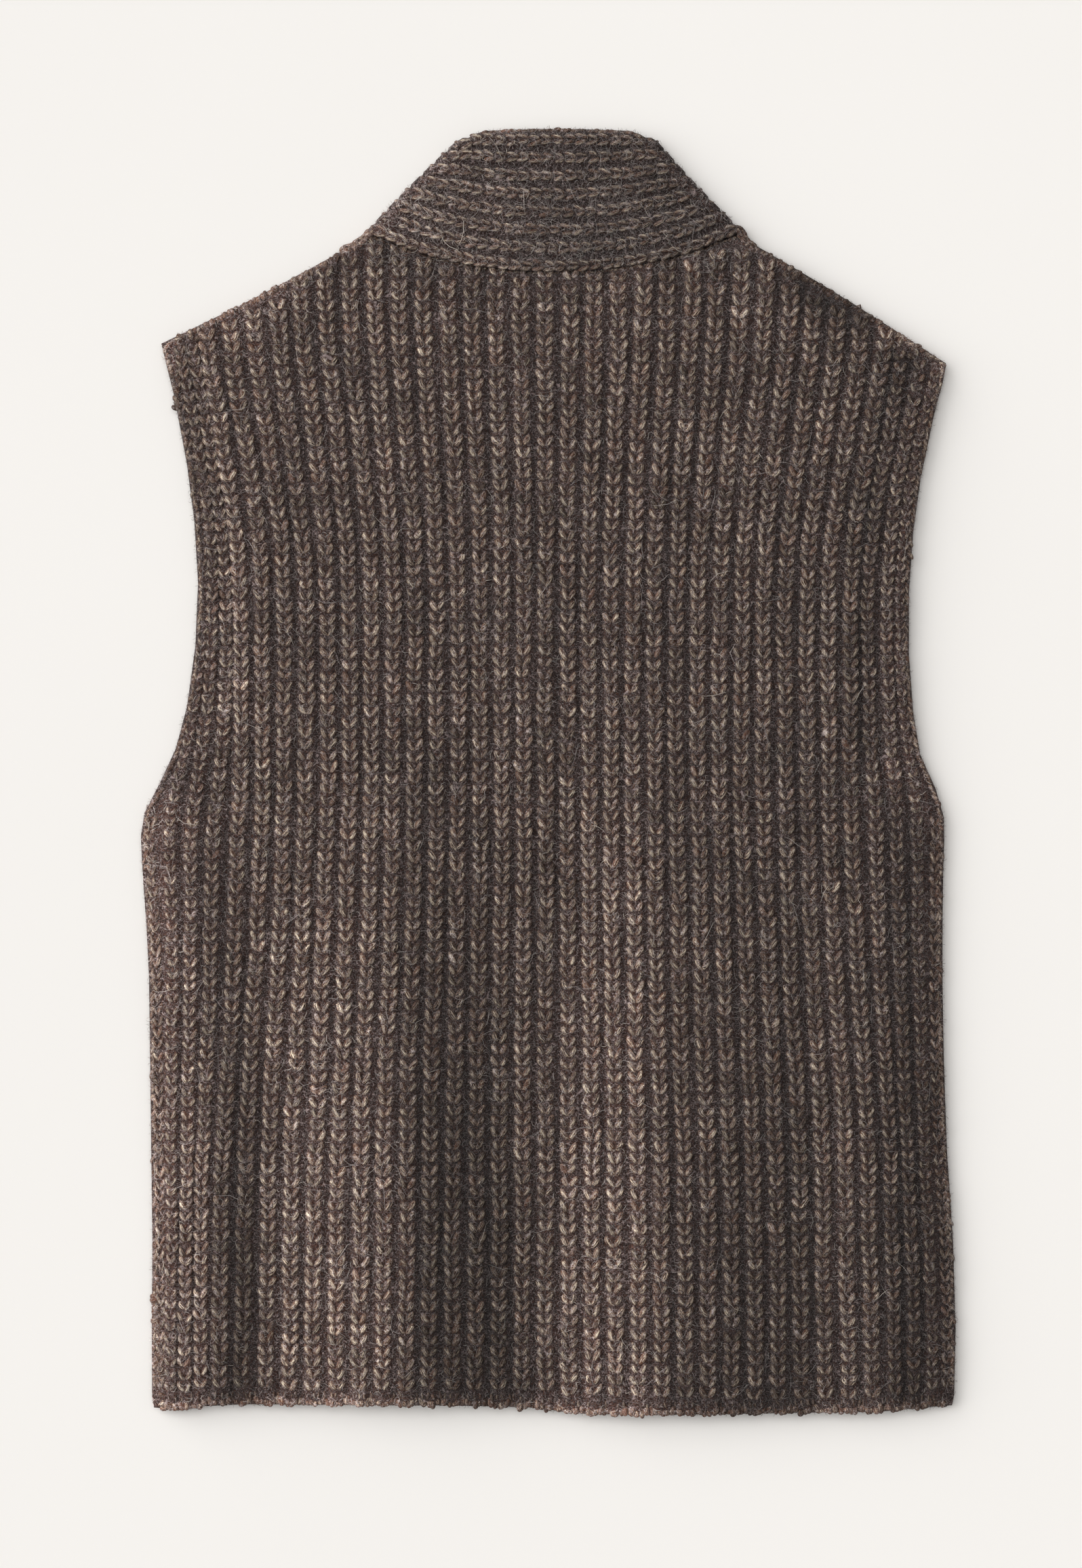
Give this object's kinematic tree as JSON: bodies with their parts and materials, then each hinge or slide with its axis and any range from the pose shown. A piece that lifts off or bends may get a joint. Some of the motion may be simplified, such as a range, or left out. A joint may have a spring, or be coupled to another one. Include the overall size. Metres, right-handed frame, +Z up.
{
  "type": "sleeveless shawl collar cardigan",
  "caption": "Chunky rib-knit sleeveless cardigan with a shawl collar, laid flat on its fronts with the back up.",
  "frame": {"origin": "centre of the garment's box, on the surface it lies on", "axes": "+Z up from the surface, out of the garment's back; +Y from hem to collar; +X to the wearer's right"},
  "size_m": [0.4683, 0.7388, 0.0157],
  "materials": {
    "knit": "brown marl wool, chunky rib knit"
  },
  "bodies": {
    "root": {"back": "knit", "collar": "knit", "front_left": "knit", "front_right": "knit"}
  },
  "joints": []
}
